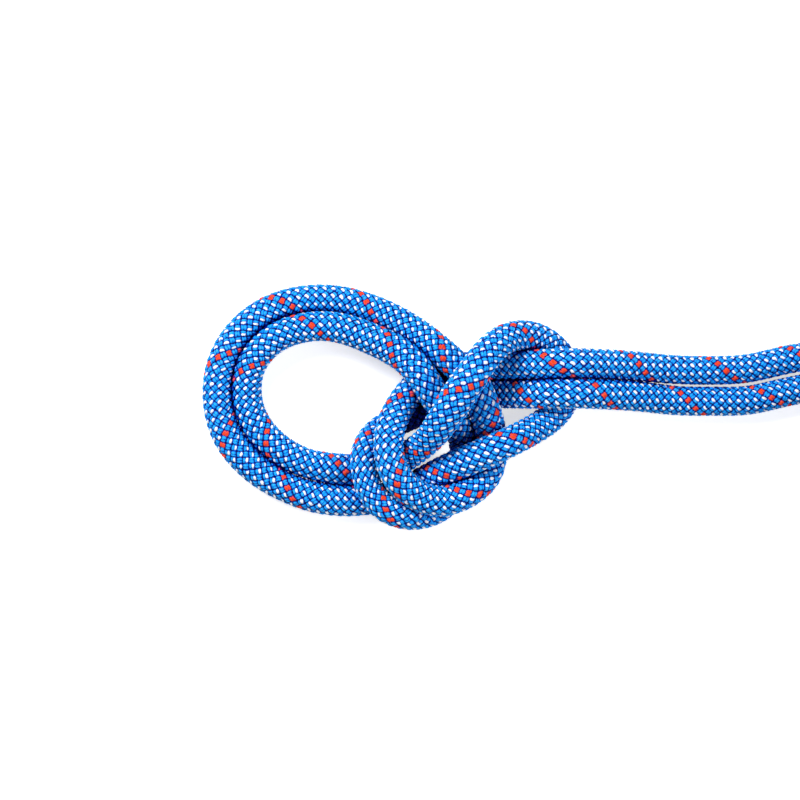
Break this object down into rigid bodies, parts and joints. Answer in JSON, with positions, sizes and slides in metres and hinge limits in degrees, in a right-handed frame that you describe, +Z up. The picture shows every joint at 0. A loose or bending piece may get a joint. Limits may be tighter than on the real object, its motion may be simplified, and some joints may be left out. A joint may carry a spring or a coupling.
{
  "type": "dynamic climbing rope",
  "caption": "Dynamic kernmantle climbing rope tied in a doubled bowline at its middle, with both halves wound in one round coil.",
  "frame": {"origin": "on the ground, under the centre of the knot's eye", "axes": "+X from the eye through the knot towards the coil, +Z up from the ground that the rope lies on"},
  "size_m": [0.4561, 0.2076, 0.1316],
  "materials": {
    "sheath": "braided polyamide, bright blue with white flecks and one red tracer",
    "core": "twisted white polyamide",
    "webbing": "woven dark grey webbing",
    "sleeve": "satin black shrunk tube, blank",
    "seal": "melted polyamide"
  },
  "bodies": {
    "root": {"sheath": "sheath", "core_strand_1": "core", "core_strand_2": "core", "core_strand_3": "core", "core_strand_4": "core", "core_strand_5": "core", "core_strand_6": "core", "core_strand_7": "core", "coil": "sheath", "coil_tie_a": "webbing", "coil_tie_b": "webbing", "end_sleeve_a": "sleeve", "end_sleeve_b": "sleeve", "end_seal_a": "seal", "end_seal_b": "seal"}
  },
  "joints": []
}
